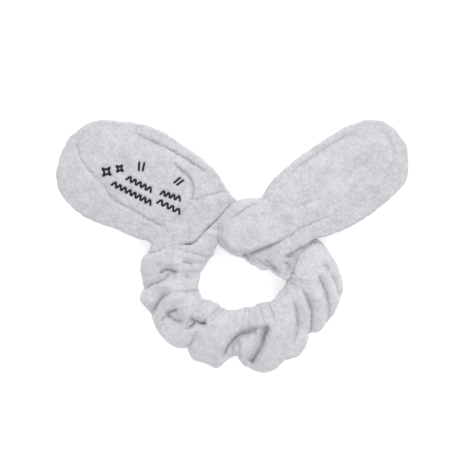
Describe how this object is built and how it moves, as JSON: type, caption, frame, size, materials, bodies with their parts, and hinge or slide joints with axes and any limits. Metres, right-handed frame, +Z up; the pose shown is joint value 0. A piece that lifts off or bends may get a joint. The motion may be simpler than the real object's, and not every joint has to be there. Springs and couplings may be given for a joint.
{
  "type": "spa headband",
  "caption": "Plush fleece headband lying flat: a gathered elastic loop, a tacked knot and wide padded rabbit ears, with embroidery on the left ear.",
  "frame": {"origin": "middle of the whole piece in plan, at the surface it lies on", "axes": "+X across, towards the right ear's side; +Y from the back of the loop to the knot; +Z up from the shelf"},
  "size_m": [0.3722, 0.2649, 0.034],
  "materials": {
    "fleece": "coral fleece, short dense pile, matt",
    "wadding": "polyester wadding",
    "elastic": "woven elastic",
    "grey_thread": "polyester sewing thread",
    "black_thread": "embroidery thread, satin stitch",
    "stabiliser": "non-woven stabiliser"
  },
  "bodies": {
    "loop_front": {"band_cover_left": "fleece", "band_cover_right": "fleece", "band_elastic": "elastic", "elastic_tack_left": "grey_thread", "elastic_tack_right": "grey_thread", "knot_lower_strap": "fleece", "knot_upper_strap": "fleece", "knot_tacks": "grey_thread"},
    "band_back": {"band_cover_back": "fleece"},
    "left_ear": {"left_ear_front_panel": "fleece", "left_ear_back_panel": "fleece", "left_ear_wadding": "wadding", "left_ear_edge_seam": "grey_thread", "embroidery_diamonds": "black_thread", "embroidery_dashes": "black_thread", "embroidery_waves": "black_thread", "embroidery_backing": "stabiliser"},
    "right_ear": {"right_ear_front_panel": "fleece", "right_ear_back_panel": "fleece", "right_ear_wadding": "wadding", "right_ear_edge_seam": "grey_thread"}
  },
  "joints": [
    {"name": "left_ear_fold", "type": "hinge", "parent": "loop_front", "child": "left_ear", "pos_m": [-0.0225, 0.026, 0.02], "axis": [0.6018, 0.7986, 0], "range_deg": [0, 90]},
    {"name": "right_ear_fold", "type": "hinge", "parent": "loop_front", "child": "right_ear", "pos_m": [0.049, 0.0175, 0.02], "axis": [0.4848, -0.8746, 0], "range_deg": [0, 90]},
    {"name": "band_stretch", "type": "slide", "parent": "loop_front", "child": "band_back", "axis": [0, -1, 0], "range_m": [0, 0.12], "stiffness_N_per_m": 60, "deforming": ["band_elastic"]}
  ]
}
